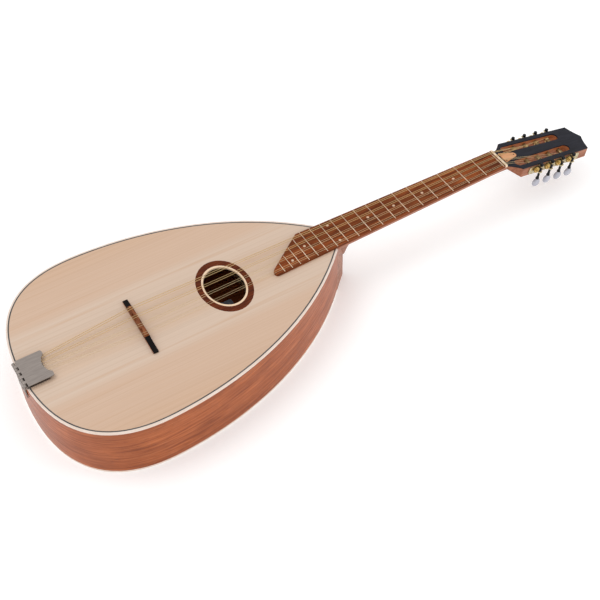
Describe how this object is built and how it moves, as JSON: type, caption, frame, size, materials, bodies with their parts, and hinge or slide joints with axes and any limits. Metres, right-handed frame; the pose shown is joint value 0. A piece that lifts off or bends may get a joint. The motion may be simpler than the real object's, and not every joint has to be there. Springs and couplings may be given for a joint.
{
  "type": "oud",
  "caption": "Flat-backed, fretted plucked lute with a pear-shaped body, four double courses, a floating bridge and a slotted head with worm tuners.",
  "frame": {"origin": "centre of the bounding box, on the plane of the flat back", "axes": "+X along the neck from the tail to the head, +Y towards the bass strings, +Z out of the soundboard"},
  "size_m": [1.0236, 0.3472, 0.1072],
  "materials": {
    "spruce": "satin lacquer, fine lengthwise grain",
    "mahogany": "gloss lacquer, red-brown",
    "rosewood": "satin, red-brown with dark streaks",
    "ebony": "black, satin",
    "inner_wood": "bare wood",
    "binding": "cream white, polished",
    "purfling": "dark inlaid line under lacquer",
    "bone": "cream bone, polished",
    "nickel": "satin grey nickel",
    "gold_brass": "gold-coloured plate",
    "black_steel": "blackened",
    "pearl": "pearl grey",
    "bronze_wire": "wound bronze",
    "steel_wire": "plain bright wire"
  },
  "bodies": {
    "instrument": {"soundboard": "spruce", "rosette": "rosewood", "soundhole_ring": "binding", "side_bass": "mahogany", "side_treble": "mahogany", "top_binding": "binding", "back_binding": "binding", "purfling": "purfling", "back_plate": "mahogany", "top_lining": "inner_wood", "back_lining": "inner_wood", "neck_block": "inner_wood", "tail_block": "inner_wood", "top_brace_1": "inner_wood", "top_brace_2": "inner_wood", "back_brace_1": "inner_wood", "back_brace_2": "inner_wood", "neck": "mahogany", "fretboard": "rosewood", "nut": "bone", "headplate": "ebony", "tuner_plate_bass": "gold_brass", "tuner_plate_treble": "gold_brass", "bridge_base": "ebony", "bridge_saddle": "rosewood", "tailpiece_base": "nickel", "tailpiece_pin": "nickel", "string_1": "bronze_wire", "string_2": "bronze_wire", "string_3": "bronze_wire", "string_4": "bronze_wire", "string_5": "steel_wire", "string_6": "steel_wire", "string_7": "steel_wire", "string_8": "steel_wire"},
    "cover": {"tailpiece_cover": "nickel"},
    "key_bass_1": {"worm_bass_1": "black_steel", "button_bass_1": "pearl"},
    "drum_bass_1": {"roller_bass_1": "gold_brass"},
    "key_bass_2": {"worm_bass_2": "black_steel", "button_bass_2": "pearl"},
    "drum_bass_2": {"roller_bass_2": "gold_brass"},
    "key_bass_3": {"worm_bass_3": "black_steel", "button_bass_3": "pearl"},
    "drum_bass_3": {"roller_bass_3": "gold_brass"},
    "key_bass_4": {"worm_bass_4": "black_steel", "button_bass_4": "pearl"},
    "drum_bass_4": {"roller_bass_4": "gold_brass"},
    "key_treble_1": {"worm_treble_1": "black_steel", "button_treble_1": "pearl"},
    "drum_treble_1": {"roller_treble_1": "gold_brass"},
    "key_treble_2": {"worm_treble_2": "black_steel", "button_treble_2": "pearl"},
    "drum_treble_2": {"roller_treble_2": "gold_brass"},
    "key_treble_3": {"worm_treble_3": "black_steel", "button_treble_3": "pearl"},
    "drum_treble_3": {"roller_treble_3": "gold_brass"},
    "key_treble_4": {"worm_treble_4": "black_steel", "button_treble_4": "pearl"},
    "drum_treble_4": {"roller_treble_4": "gold_brass"}
  },
  "joints": [
    {"name": "cover_hinge", "type": "hinge", "parent": "instrument", "child": "cover", "pos_m": [-0.50935, -0.002, 0.1009], "axis": [0, -1, 0], "range_deg": [0, 100]},
    {"name": "key_spin_bass_1", "type": "hinge", "parent": "instrument", "child": "key_bass_1", "pos_m": [0.39259, 0.03838, 0.08767], "axis": [0.1822, 0, 0.9833], "continuous": true},
    {"name": "drum_spin_bass_1", "type": "hinge", "parent": "instrument", "child": "drum_bass_1", "pos_m": [0.38251, 0.03392, 0.08059], "axis": [0.0275, 0.9996, -0.0051], "continuous": true},
    {"name": "key_spin_bass_2", "type": "hinge", "parent": "instrument", "child": "key_bass_2", "pos_m": [0.41668, 0.0377, 0.08321], "axis": [0.1822, 0, 0.9833], "continuous": true},
    {"name": "drum_spin_bass_2", "type": "hinge", "parent": "instrument", "child": "drum_bass_2", "pos_m": [0.40659, 0.03324, 0.07613], "axis": [0.0275, 0.9996, -0.0051], "continuous": true},
    {"name": "key_spin_bass_3", "type": "hinge", "parent": "instrument", "child": "key_bass_3", "pos_m": [0.44076, 0.03701, 0.07875], "axis": [0.1822, 0, 0.9833], "continuous": true},
    {"name": "drum_spin_bass_3", "type": "hinge", "parent": "instrument", "child": "drum_bass_3", "pos_m": [0.43067, 0.03255, 0.07167], "axis": [0.0275, 0.9996, -0.0051], "continuous": true},
    {"name": "key_spin_bass_4", "type": "hinge", "parent": "instrument", "child": "key_bass_4", "pos_m": [0.46483, 0.03633, 0.07428], "axis": [0.1822, 0, 0.9833], "continuous": true},
    {"name": "drum_spin_bass_4", "type": "hinge", "parent": "instrument", "child": "drum_bass_4", "pos_m": [0.45475, 0.03187, 0.0672], "axis": [0.0275, 0.9996, -0.0051], "continuous": true},
    {"name": "key_spin_treble_1", "type": "hinge", "parent": "instrument", "child": "key_treble_1", "pos_m": [0.39259, -0.03838, 0.08767], "axis": [0.1822, 0, 0.9833], "continuous": true},
    {"name": "drum_spin_treble_1", "type": "hinge", "parent": "instrument", "child": "drum_treble_1", "pos_m": [0.38251, -0.03392, 0.08059], "axis": [-0.0275, 0.9996, 0.0051], "continuous": true},
    {"name": "key_spin_treble_2", "type": "hinge", "parent": "instrument", "child": "key_treble_2", "pos_m": [0.41668, -0.0377, 0.08321], "axis": [0.1822, 0, 0.9833], "continuous": true},
    {"name": "drum_spin_treble_2", "type": "hinge", "parent": "instrument", "child": "drum_treble_2", "pos_m": [0.40659, -0.03324, 0.07613], "axis": [-0.0275, 0.9996, 0.0051], "continuous": true},
    {"name": "key_spin_treble_3", "type": "hinge", "parent": "instrument", "child": "key_treble_3", "pos_m": [0.44076, -0.03701, 0.07875], "axis": [0.1822, 0, 0.9833], "continuous": true},
    {"name": "drum_spin_treble_3", "type": "hinge", "parent": "instrument", "child": "drum_treble_3", "pos_m": [0.43067, -0.03255, 0.07167], "axis": [-0.0275, 0.9996, 0.0051], "continuous": true},
    {"name": "key_spin_treble_4", "type": "hinge", "parent": "instrument", "child": "key_treble_4", "pos_m": [0.46483, -0.03633, 0.07428], "axis": [0.1822, 0, 0.9833], "continuous": true},
    {"name": "drum_spin_treble_4", "type": "hinge", "parent": "instrument", "child": "drum_treble_4", "pos_m": [0.45475, -0.03187, 0.0672], "axis": [-0.0275, 0.9996, 0.0051], "continuous": true}
  ],
  "couplings": [
    {"joint": "drum_spin_bass_1", "follows": "key_spin_bass_1", "ratio": 0.071429},
    {"joint": "drum_spin_bass_2", "follows": "key_spin_bass_2", "ratio": 0.071429},
    {"joint": "drum_spin_bass_3", "follows": "key_spin_bass_3", "ratio": 0.071429},
    {"joint": "drum_spin_bass_4", "follows": "key_spin_bass_4", "ratio": 0.071429},
    {"joint": "drum_spin_treble_1", "follows": "key_spin_treble_1", "ratio": 0.071429},
    {"joint": "drum_spin_treble_2", "follows": "key_spin_treble_2", "ratio": 0.071429},
    {"joint": "drum_spin_treble_3", "follows": "key_spin_treble_3", "ratio": 0.071429},
    {"joint": "drum_spin_treble_4", "follows": "key_spin_treble_4", "ratio": 0.071429}
  ]
}
